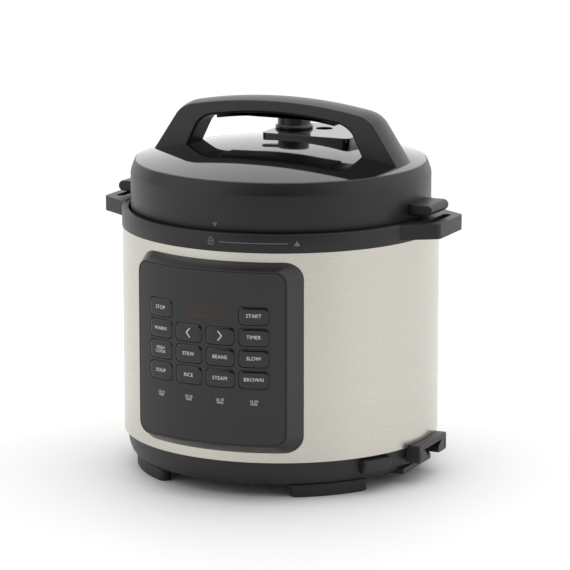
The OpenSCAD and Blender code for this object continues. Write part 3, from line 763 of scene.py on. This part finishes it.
class BuildBase(bpy.types.Operator):
    """Build the base moulding with its pocket, its cover and its four feet"""

    bl_idname = "cooker.base"
    bl_label = "Base and feet"

    def execute(self, context):
        low = BASE.low.z + 3
        lip = SHELL.low.z
        outer = [(112, low), (121.4, low), (123.7, low + 0.7), (125.4, low + 2.1),
                 (126.7, low + 4.1), (127.8, low + 6.6), (128.6, low + 9.2), (129.3, low + 12.4),
                 (129.8, low + 15.4), (130.2, low + 18.2), (130.5, lip - 1.0), (130.9, lip - 0.55),
                 (SHELL_R - 1.3, lip - 0.5)]
        inner = [(SHELL_R - 1.3, lip + 6), (SHELL_R - 4.4, lip + 6), (SHELL_R - 4.4, lip - 1),
                 (127.3, low + 15), (126.1, low + 10.5), (124.5, low + 6.5), (121, low + 4.2),
                 (104.8, low + 4.2), (104.8, low + 2.6), (112, low + 2.6)]
        opening = block((118, -LEG_Y - 1.2, LEG_Z - 3.8), (138, LEG_Y + 1.2, BAR_Z + 0.6))
        shell = holed(spun(outer + inner), opening)
        piece(shell, "base_moulding", "cooker", "base", replaces=("base_housing",))
        face = block((112.8, -29.5, BASE.low.z), (126, 29.5, low + 2.4))
        piece(face, "inlet_plinth", "cooker", "base", edge=1.1, segments=4)
        front, back, wide = -SHELL_R - 4.2, -128.9, 14
        plan = oblong((-wide, front), (wide, back), [2.6, 2.6, 0, 0], 5)
        rim = bridged(plan, oblong((-12.2, front + 1.8), (12.2, front + 5), [0.9] * 4, 3), level=22.4)
        raise_face(rim, (0, 0, 7.2))
        sole = drawn(plan, level=17.4)
        raise_face(sole, (0, 0, 5.4))
        for v in sole.verts:
            if v.co.z < 18:
                v.co = Vector((v.co.x * 0.93, max(v.co.y, -130.6), v.co.z))
        piece(turned_to(joined(rim, sole), POCKET_AT), "spoon_pocket", "cooker", "base",
              edge=0.7, segments=3)
        dress("base_cover", "dark")
        dress("base_screws", "screw")
        for i, node in enumerate(("foot_front_right", "foot_back_right", "foot_back_left",
                                  "foot_front_left")):
            foot = drawn(arc(0, 0, 122.5, -104, -76, 20)
                         + arc(117.5 * math.cos(math.radians(-76)),
                               117.5 * math.sin(math.radians(-76)), 5, -76, 104, 12)[1:-1]
                         + arc(0, 0, 112.5, -76, -104, 20)
                         + arc(117.5 * math.cos(math.radians(-104)),
                               117.5 * math.sin(math.radians(-104)), 5, 76, 256, 12)[1:-1])
            raise_face(foot, (0, 0, FOOT.high.z))
            piece(turned_to(foot, 45 + 90 * i), f"{node}_pad", "cooker", "feet",
                  replaces=(node,), edge=1.3, segments=4)
        return {"FINISHED"}


class BuildInlet(bpy.types.Operator):
    """Build the hood over the mains inlet and finish what is inside it"""

    bl_idname = "cooker.inlet"
    bl_label = "Mains inlet"

    def execute(self, context):
        y, high, reach = HOOD.high.y, HOOD.high.z, HOOD.high.x
        lip = SHELL.low.z - 0.8
        half = [(LEG_Y, LEG_Z), (y, LEG_Z), (y, high)]
        inner = [(LEG_Y + 7.1, BAR_Z), (LEG_Y, LEG_Z + 5.4)]
        outline = half + [(-a, b) for a, b in reversed(half)] + [
            (-a, b) for a, b in reversed(inner)] + inner
        hood = drawn(softened(outline, [0.7, 1.4, 2.4, 2.4, 1.4, 0.7, 0.8, 1.2, 1.2, 0.8], 5))
        stood_up(hood, HOOD.low.x + 3)
        raise_face(hood, (reach - HOOD.low.x - 3, 0, 0))
        body = spun([(0.0, 0.0), (BASE_R, 0.0), (BASE_R, lip), (SHELL_R + 0.3, lip),
                     (SHELL_R + 0.3, 60), (0.0, 60)], closed=False)
        hood = holed(hood, body)
        for side in (-1, 1):
            low_y, high_y = sorted((side * (y - 3.0), side * (y - 1.8)))
            hood = holed(hood, block((reach - 3, low_y, LEG_Z + 2), (reach + 1, high_y, BAR_Z)))
        piece(hood, "inlet_surround", "cooker", "base", replaces=("inlet_hood",),
              edge=0.5, segments=3)
        low = HOOD.low.z
        collar = bridged(oblong((-LEG_Y - 1, low), (LEG_Y + 1, low + 14), [1.6] * 4, 5),
                         oblong((0.6 - LEG_Y, low + 1.2), (LEG_Y - 0.6, low + 12.8), [1.0] * 4, 5))
        stood_up(collar, HOOD.low.x)
        raise_face(collar, (10.5, 0, 0))
        piece(collar, "inlet_collar", "cooker", "base", edge=0.4, segments=3)
        dress("mains_inlet", "dark")
        dress("inlet_pins", "brass")
        return {"FINISHED"}


class BuildCup(bpy.types.Operator):
    """Finish the condensation cup and the rail that it hangs on"""

    bl_idname = "cooker.cup"
    bl_label = "Condensation cup"

    def execute(self, context):
        dress("cup_rail", "satin")
        low, high = CUP.low, CUP.high
        half, front, back = 28.0, low.y, high.y
        outer = oblong((-half, front), (half, back), [1.2, 1.2, 4, 4], 6)
        inner = oblong((2 - half, front + 1.8), (half - 2, back - 1.8), [2.4] * 4, 6)
        wall = bridged(outer, inner, level=low.z + 1.9)
        raise_face(wall, (0, 0, high.z - low.z - 1.9))
        sole = drawn(outer, level=low.z)
        raise_face(sole, (0, 0, 2))
        rim = joined(block((-31, front, high.z - 2), (2 - half, back - 2.5, high.z)),
                     block((half - 2, front, high.z - 2), (31, back - 2.5, high.z)))
        piece(joined(wall, sole, rim), "condensation_box", "cup", "clear",
              replaces=("condensation_cup",), edge=0.5, segments=2)
        return {"FINISHED"}


# ---- Control panel ----


KEY_WORDS = {
    "key_soup": (0, 0, "SOUP"), "key_rice": (1, 0, "RICE"), "key_steam": (2, 0, "STEAM"),
    "key_brown": (3, 0, "BROWN"), "key_pressure": (0, 1, "HIGH\nCOOK"), "key_stew": (1, 1, "STEW"),
    "key_beans": (2, 1, "BEANS"), "key_slow": (3, 1, "SLOW"), "key_warm": (0, 2, "WARM"),
    "key_back": (1, 2, "<"), "key_next": (2, 2, ">"), "key_delay": (3, 2, "TIMER"),
    "key_cancel": (0, 3, "STOP"), "key_start": (3, 3, "START"),
}


class BuildPanel(bpy.types.Operator):
    """Build the frame of the control panel, its digits and its captions"""

    bl_idname = "cooker.panel"
    bl_label = "Control panel"

    def execute(self, context):
        low, high = FACE.low.z, FACE.high.z
        half = FACE.high.x
        depth = PANEL_R - SHELL_R - 0.25
        frame_loops = [
            (FRAME.high.x, FRAME.low.z, FRAME.high.z, 14, depth),
            (half + 1.5, low - 1.5, high + 1.5, 10, 0.0),
            (half + 0.35, low - 0.35, high + 0.35, 9.2, 0.0),
            (half + 0.35, low - 0.35, high + 0.35, 9.2, 2.9),
            (half - 2.2, low + 2.2, high - 2.2, 7, 2.9),
            (half - 2.2, low + 2.2, high - 2.2, 7, depth)]
        rim = loft(frame_loops, closed=True, segments=8)
        sliced(rim, -75, 75, 3.0)
        around(rim, PANEL_R)
        piece(rim, "panel_bezel", "cooker", "bezel", replaces=("panel_frame",),
              edge=0.55, segments=3, sharp=30, limit=28)
        dress("panel_face", "panel")
        dress("display_window", "window")
        for node, finish in (("display_module", "dark"), ("control_board", "board"),
                             ("tact_switches", "dark")):
            dress(node, finish)
        self.digits()
        self.captions()
        return {"FINISHED"}

    def digits(self):
        """Four digits and a colon of seven bars each, switched off."""
        mid, tall, wide, bar = WINDOW.mid.z, 8.4, 4.7, 0.9
        shapes = []
        for x in (-12.2, -4.8, 4.8, 12.2):
            for cx, cz, across in ((0, 1, True), (0, 0, True), (0, -1, True), (-1, 0.5, False),
                                   (1, 0.5, False), (-1, -0.5, False), (1, -0.5, False)):
                a, b = (wide / 2 - 0.55, bar / 2) if across else (bar / 2, tall / 4 - 0.55)
                px, pz = x + cx * wide / 2, mid + cz * tall / 2
                t = bar / 2
                if across:
                    points = [(px - a, pz), (px - a + t, pz - b), (px + a - t, pz - b), (px + a, pz),
                              (px + a - t, pz + b), (px - a + t, pz + b)]
                else:
                    points = [(px, pz - b), (px + a, pz - b + t), (px + a, pz + b - t), (px, pz + b),
                              (px - a, pz + b - t), (px - a, pz - b + t)]
                shapes.append(drawn(points))
        for z in (-1.8, 1.8):
            shapes.append(drawn([(x, mid + z + y) for x, y in arc(0, 0, 0.6, 0, 330, 11)]))
        bm = joined(*shapes)
        for v in bm.verts:
            v.co = Vector((v.co.x + (v.co.y - mid) * 0.09, 0.06, v.co.y))
        raise_face(bm, (0, -0.045, 0))
        piece(around(bm, PANEL_R), "display_digits", "cooker", "lit")

    def captions(self):
        """A row of small generic captions under the keys."""
        drop = KEY_ROWS[0] - (KEY_ROWS[1] - KEY_ROWS[0]) * 1.1
        for column, text in enumerate(("10-15\nMIN", "20-30\nMIN", "25-35\nMIN", "15-20\nMIN")):
            bm = words(text, 2.1, 0, drop, -0.01, 1.05)
            piece(around(bm, PANEL_R, (column - 1.5) * KEY_PITCH), f"caption_{column}", "cooker",
                  "print", sharp=60)


class BuildKeys(bpy.types.Operator):
    """Build the fourteen keys, each with its printed word"""

    bl_idname = "cooker.keys"
    bl_label = "Keys"

    def execute(self, context):
        slope = sizes().key_slope * 1000
        tall = sizes().print_height * 1000
        for node, (column, row, text) in KEY_WORDS.items():
            z = KEY_ROWS[row]
            w, h = 12.2, 7.5
            rims = [(0.0, 3.4, 4.0), (0.0, 0.25, 4.0), (0.12, 0.02, 3.9), (slope * 0.3, -0.2, 3.7),
                    (slope * 0.62, -0.42, 3.4), (slope, -0.55, 3.0), (slope * 1.6, -0.59, 2.5)]
            cap = loft([(w - i, z - h + i, z + h - i, r, d) for i, d, r in rims], segments=5)
            sliced(cap, -12, 12, 1.5)
            around(cap, PANEL_R, (column - 1.5) * KEY_PITCH)
            piece(cap, f"{node}_cap", node, "key", replaces=(node,), sharp=50)
            if text in "<>":
                s = 1 if text == ">" else -1
                mark = drawn([(s * x, z + y) for x, y in (
                    (-1.9, 3.5), (-1.25, 4.1), (2.2, 0), (-1.25, -4.1), (-1.9, -3.5), (1.15, 0))])
                for v in mark.verts:
                    v.co = Vector((v.co.x, -0.57, v.co.y))
                sliced(mark, -3, 3, 1.0)
                raise_face(mark, (0, -0.05, 0))
            else:
                mark = words(text, tall * (0.86 if "\n" in text else 1), 0, z, -0.6, 1.02)
            piece(around(mark, PANEL_R, (column - 1.5) * KEY_PITCH), f"{node}_print", node,
                  "print", sharp=60)
        return {"FINISHED"}


# ---- Inside ----


class BuildInside(bpy.types.Operator):
    """Finish the liner, the heater, the electrics and the inner pot"""

    bl_idname = "cooker.inside"
    bl_label = "Inside and inner pot"

    def execute(self, context):
        for node, finish in (
                ("liner", "liner"), ("heating_plate", "cast"), ("sensor_bracket", "pressed"),
                ("sensor_spring", "screw"), ("temperature_sensor", "cast"), ("thermal_fuse", "fuse"),
                ("pressure_switch", "dark"), ("power_board", "board"), ("relay", "relay"),
                ("transformer", "winding"), ("mains_leads", "wire"), ("ribbon_cable", "ribbon"),
                ("inner_pot", "pot_steel"), ("sealing_ring", "silicone")):
            dress(node, finish)
        return {"FINISHED"}


# ---- Lid ----


def dome_at(r):
    """Height of the domed lid at that distance from the axis."""
    return DOME_Z - DOME_R + math.sqrt(DOME_R**2 - r * r)


class BuildLid(bpy.types.Operator):
    """Build the lid's wall, its glossy dome, the valve deck and the two tabs"""

    bl_idname = "cooker.lid"
    bl_label = "Lid"

    def execute(self, context):
        edge_r = DOME_EDGE_R
        wall = softened(
            [(LID_R - 2.4, RIM_Z - 5), (LID_R, RIM_Z - 5), (LID_R, WALL_Z), (edge_r, BEVEL_Z),
             (edge_r - 1.2, BEVEL_Z), (edge_r - 2.2, BEVEL_Z - 3), (LID_R - 2.4, WALL_Z - 1)],
            [0.4, 0.8, 1.6, 0.7, 0, 0.4, 0.6], 5)
        piece(spun(wall), "lid_wall", "lid", "satin", replaces=("lid_cover",))
        rim = edge_r - 1.0
        top = [(rim * i / 40, dome_at(rim * i / 40)) for i in range(41)]
        under = [(r, z - 2.5) for r, z in reversed(top[:-1])]
        well = spun([(0.0, DOME_Z - 20), (7.3, DOME_Z - 20), (7.3, DOME_Z + 10), (0.0, DOME_Z + 10)],
                    closed=False, steps=48)
        moved(well, FLOAT_AT)
        dome = spun(top + [(rim + 0.3, top[-1][1] - 0.4), (rim + 0.3, top[-1][1] - 2)] + under,
                    closed=False)
        piece(holed(dome, well), "lid_dome", "lid", "gloss", sharp=30)
        deck = drawn(oblong((-25, 11.5), (57, 78), [7, 6, 6, 7], 8),
                     level=DOME_Z - 9)
        raise_face(deck, (0, 0, DECK_Z - DOME_Z + 9))
        hole = spun([(0.0, DOME_Z - 20), (7.2, DOME_Z - 20), (7.2, DECK_Z + 5), (0.0, DECK_Z + 5)],
                    closed=False, steps=48)
        moved(hole, FLOAT_AT)
        deck = holed(deck, hole)
        piece(deck, "valve_deck", "lid", "gloss", edge=0.7, segments=4)
        for side, name in ((0, "right"), (180, "left")):
            root = LID_R - 1.5
            nose = arc(COVER.high.x - TAB_NOSE_R, TAB_Z + TAB_NOSE_R, TAB_NOSE_R, -90, 90, 14)
            tab = drawn([(root, TAB_Z), *nose, (root, TAB_Z + 2 * TAB_NOSE_R)], "XZ", -TAB_HALF)
            raise_face(tab, (0, 2 * TAB_HALF, 0))
            piece(turned_to(tab, side), f"lid_tab_{name}", "lid", "satin",
                  edge=1.1, segments=4)
        for node, finish in (("lid_steel", "pressed"), ("ring_rack", "pressed"),
                             ("handle_screws", "screw"), ("valve_stem", "screw"),
                             ("anti_block_shield", "pressed"), ("float_seal", "silicone")):
            dress(node, finish)
        return {"FINISHED"}


HANDLE_TOP = HANDLE.high.z
CROWN_R, CROWN_END, SHOULDER_R, LEG = 419.0, 79.5, 26.0, 38.0
UNDER_R, UNDER_END, ELBOW_R, GRIP = 330.0, 80.0, 22.0, 12.5


def polar(radius, degrees):
    return radius * math.cos(math.radians(degrees)), radius * math.sin(math.radians(degrees))


def across(outline, depths, shift):
    """A solid from one outline, repeated at each depth and moved in along its normal.

    shift(point, is_upper, depth) gives how far; outline is a list of (point, is_upper)."""
    bm = bmesh.new()
    rims = []
    n = len(outline)
    for y in depths:
        verts = []
        for i, ((x, z), upper) in enumerate(outline):
            (ax, az), (bx, bz) = outline[i - 1][0], outline[(i + 1) % n][0]
            along = Vector((bx - ax, bz - az)).normalized()
            inward = Vector((along.y, -along.x)) * shift(upper, y)
            verts.append(bm.verts.new((x + inward.x, y, z + inward.y)))
        rims.append([bm.edges.new(pair) for pair in zip(verts, verts[1:] + verts[:1])])
    for first, second in zip(rims, rims[1:]):
        bmesh.ops.bridge_loops(bm, edges=first + second)
    for rim in (rims[0], rims[-1]):
        bmesh.ops.contextual_create(bm, geom=rim)
    return bm


class BuildHandle(bpy.types.Operator):
    """Build the arched lid handle and the strip under its grip"""

    bl_idname = "cooker.handle"
    bl_label = "Lid handle"

    def execute(self, context):
        crown = sizes().handle_crown * 1000
        half = HANDLE.high.y
        foot_x = HANDLE.high.x
        sx, sz = polar(CROWN_R - SHOULDER_R, CROWN_END)
        ex, ez = polar(UNDER_R - ELBOW_R, UNDER_END)
        crown_z, under_z = HANDLE_TOP - CROWN_R, HANDLE_TOP - GRIP - UNDER_R
        foot_z = BEVEL_Z - 2
        over = arc(0, crown_z, CROWN_R, 90, CROWN_END, 14) + arc(
            sx, crown_z + sz, SHOULDER_R, CROWN_END - 3, LEG, 12) + [(foot_x, foot_z)]
        below = arc(0, under_z, UNDER_R, 90, UNDER_END, 10) + arc(
            ex, under_z + ez, ELBOW_R, UNDER_END - 3, LEG, 12) + [(foot_x - 31.5, foot_z)]
        right = [(p, True) for p in over] + [(p, False) for p in reversed(below)]
        left = [((-p[0], p[1]), False) for p in below[1:]] + [
            ((-p[0], p[1]), True) for p in reversed(over[1:])]
        outline = list(reversed(right + left))
        chamfer = sizes().handle_chamfer * 1000
        depths = [-half, chamfer - half, -9.5, -5, 0, 5, 9.5, half - chamfer, half]

        def shift(upper, y):
            if upper:
                return -crown * (y / half) ** 2
            return -chamfer if abs(abs(y) - half) < 1e-6 else 0.0

        body = across(outline, depths, shift)
        piece(body, "lid_handle_arch", "lid", "satin_soft",
              replaces=("lid_handle",), edge=0.7, segments=3, limit=30)
        top = arc(0, under_z, UNDER_R + 0.4, 90, UNDER_END + 0.5, 10)
        low = arc(0, under_z, UNDER_R - 3.2, 90, UNDER_END + 0.5, 10)
        ring = ([(p, True) for p in top] + [(p, False) for p in reversed(low)]
                + [((-p[0], p[1]), False) for p in low[1:]]
                + [((-p[0], p[1]), True) for p in reversed(top[1:])])
        wide = half - 1.5
        strip = across(list(reversed(ring)), [-wide, 2.2 - wide, -4, 4, wide - 2.2, wide],
                       lambda upper, y: 0.0 if upper or abs(y) < wide - 1 else -2.6)
        piece(strip, "grip_strip", "lid", "dark", replaces=("handle_insert",),
              edge=0.5, segments=3)
        return {"FINISHED"}


class BuildValves(bpy.types.Operator):
    """Build the steam release knob with its lever, and the float pin"""

    bl_idname = "cooker.valves"
    bl_label = "Steam release and float"

    def execute(self, context):
        low, high = KNOB.low.z, KNOB.high.z
        post = softened([(4.1, low), (16, low), (16, low + 2.2), (14, low + 3.2), (14, high),
                         (0.01, high), (0.01, high - 6), (4.1, high - 6)],
                        [0, 0.5, 0.8, 0.8, 1.6, 0, 0, 0], 5)
        knob = spun(post, steps=96)
        reach = KNOB_AT[0] - KNOB.low.x
        lever = drawn(softened([(-reach, -5), (3, -7), (3, 7), (-reach, 5)], [4.6, 0, 0, 4.6], 8),
                      level=high - 5.2)
        raise_face(lever, (0, 0, 5))
        for bm in (knob, lever):
            moved(bm, KNOB_AT)
        piece(knob, "steam_knob_post", "steam_valve", "satin_soft",
              replaces=("steam_knob",))
        piece(lever, "steam_knob_lever", "steam_valve", "satin_soft", edge=0.9,
              segments=4)
        pin_top, pin_low = FLOAT.high.z, FLOAT.low.z
        pin = spun(softened([(0.01, pin_low), (3, pin_low), (3, pin_top - 4), (5.5, pin_top - 4),
                             (5.5, pin_top), (0.01, pin_top)], [0, 0.6, 0.5, 0.5, 0.9, 0], 4),
                   steps=64)
        moved(pin, FLOAT_AT)
        piece(pin, "float_pin_turned", "float_valve", "float",
              replaces=("float_pin",))
        return {"FINISHED"}


# ---- Stage ----


def area_light(name, at, towards, size, power, colour=(1, 1, 1)):
    data = bpy.data.lights.new(name, "AREA")
    data.shape, data.size, data.size_y = "RECTANGLE", size[0], size[1]
    data.energy, data.color = power, colour
    light = bpy.data.objects.new(name, data)
    bpy.context.scene.collection.objects.link(light)
    light.location = at
    light.rotation_euler = (Vector(towards) - Vector(at)).to_track_quat("-Z", "Y").to_euler()
    return light


class BuildStage(bpy.types.Operator):
    """Lay the floor and set the light and the camera"""

    bl_idname = "cooker.stage"
    bl_label = "Stage"

    def execute(self, context):
        bm = bmesh.new()
        bmesh.ops.create_grid(bm, x_segments=8, y_segments=8, size=6.0)
        mesh = bpy.data.meshes.new("floor")
        bm.to_mesh(mesh)
        bm.free()
        floor = bpy.data.objects.new("floor", mesh)
        context.scene.collection.objects.link(floor)
        f = Finish("Floor", **{"Roughness": 0.6, "Specular IOR Level": 0.2})
        tone = colours().floor
        f.set(Base_Color=f.mix(f.noise(3), tint(tone, 0.985), tint(tone, 1.01)))
        mesh.materials.append(f.material)
        self.sky(context)
        area_light("Top panel", (0, 0.25, 2.2), (0, 0, 0.1), (2.4, 2.4), 10)
        self.camera(context)
        return {"FINISHED"}

    def sky(self, context):
        """White all round and overhead, with a dark gap at the front and a dim strip at the left."""
        world = bpy.data.worlds.new("Studio")
        context.scene.world = world
        world.use_nodes = True
        g = Graph(world.node_tree)
        split = g.add("ShaderNodeSeparateXYZ", None, {
            0: g.add("ShaderNodeTexCoord").outputs["Generated"]})
        x, y, z = (Value(g, split.outputs[i]) for i in range(3))
        side, front = math.sin(math.radians(25.1)), -math.cos(math.radians(25.1))
        level = (x * x + y * y) ** 0.5
        facing = (x * side + y * front) / level
        left = g.ramp(x * front - y * side, 0.0, 0.1)
        roof = g.ramp(z, 0.62, 0.86)
        gap = g.ramp(facing, 0.62, 0.93) * (1 - roof)
        flag = g.ramp(0 - facing, 0.22, 0.34) * (1 - g.ramp(0 - facing, 0.5, 0.62)) * left
        screens = g.mix(flag * 0.8 * (1 - roof), (1, 1, 1, 1), (0.1, 0.1, 0.1, 1))
        shade = g.add("ShaderNodeBackground", None, {
            "Color": g.mix(gap, screens, (0.02, 0.02, 0.022, 1)), "Strength": 1.22})
        g.add("ShaderNodeOutputWorld", None, {"Surface": shade.outputs[0]})
        context.scene.view_settings.view_transform = "Standard"

    def camera(self, context):
        data = bpy.data.cameras.new("Camera")
        data.lens, data.sensor_width = 210.3, 36.0
        camera = bpy.data.objects.new("Camera", data)
        context.scene.collection.objects.link(camera)
        turn = math.radians(25.1)
        camera.location = (2.75 * math.sin(turn), -2.75 * math.cos(turn), 0.7305)
        camera.rotation_euler = (math.radians(78.121), 0, math.radians(25.031))
        data.clip_start, data.clip_end = 0.05, 50
        context.scene.camera = camera


class CookerPanel(bpy.types.Panel):
    """Lists the cooker's sizes, colours and pieces"""

    bl_label = "Pressure cooker"
    bl_idname = "COOKER_PT_parts"
    bl_space_type = "VIEW_3D"
    bl_region_type = "UI"
    bl_category = "Cooker"

    def draw(self, context):
        layout = self.layout
        for group in (sizes(), colours()):
            for name in group.__annotations__:
                layout.prop(group, name)
        for operator in PIECES:
            layout.operator(operator.bl_idname)


PIECES = (BuildStage, BuildBody, BuildBase, BuildInlet, BuildCup, BuildPanel, BuildKeys,
          BuildInside, BuildLid, BuildHandle, BuildValves)
CLASSES = (CookerSizes, CookerColours, *PIECES, CookerPanel)


def register():
    for c in CLASSES:
        bpy.utils.register_class(c)
    bpy.types.Scene.cooker_sizes = PointerProperty(type=CookerSizes)
    bpy.types.Scene.cooker_colours = PointerProperty(type=CookerColours)


def unregister():
    del bpy.types.Scene.cooker_sizes
    del bpy.types.Scene.cooker_colours
    for c in reversed(CLASSES):
        bpy.utils.unregister_class(c)


def main():
    register()
    for operator in PIECES:
        group, name = operator.bl_idname.split(".")
        getattr(getattr(bpy.ops, group), name)()


if __name__ == "__main__":
    main()
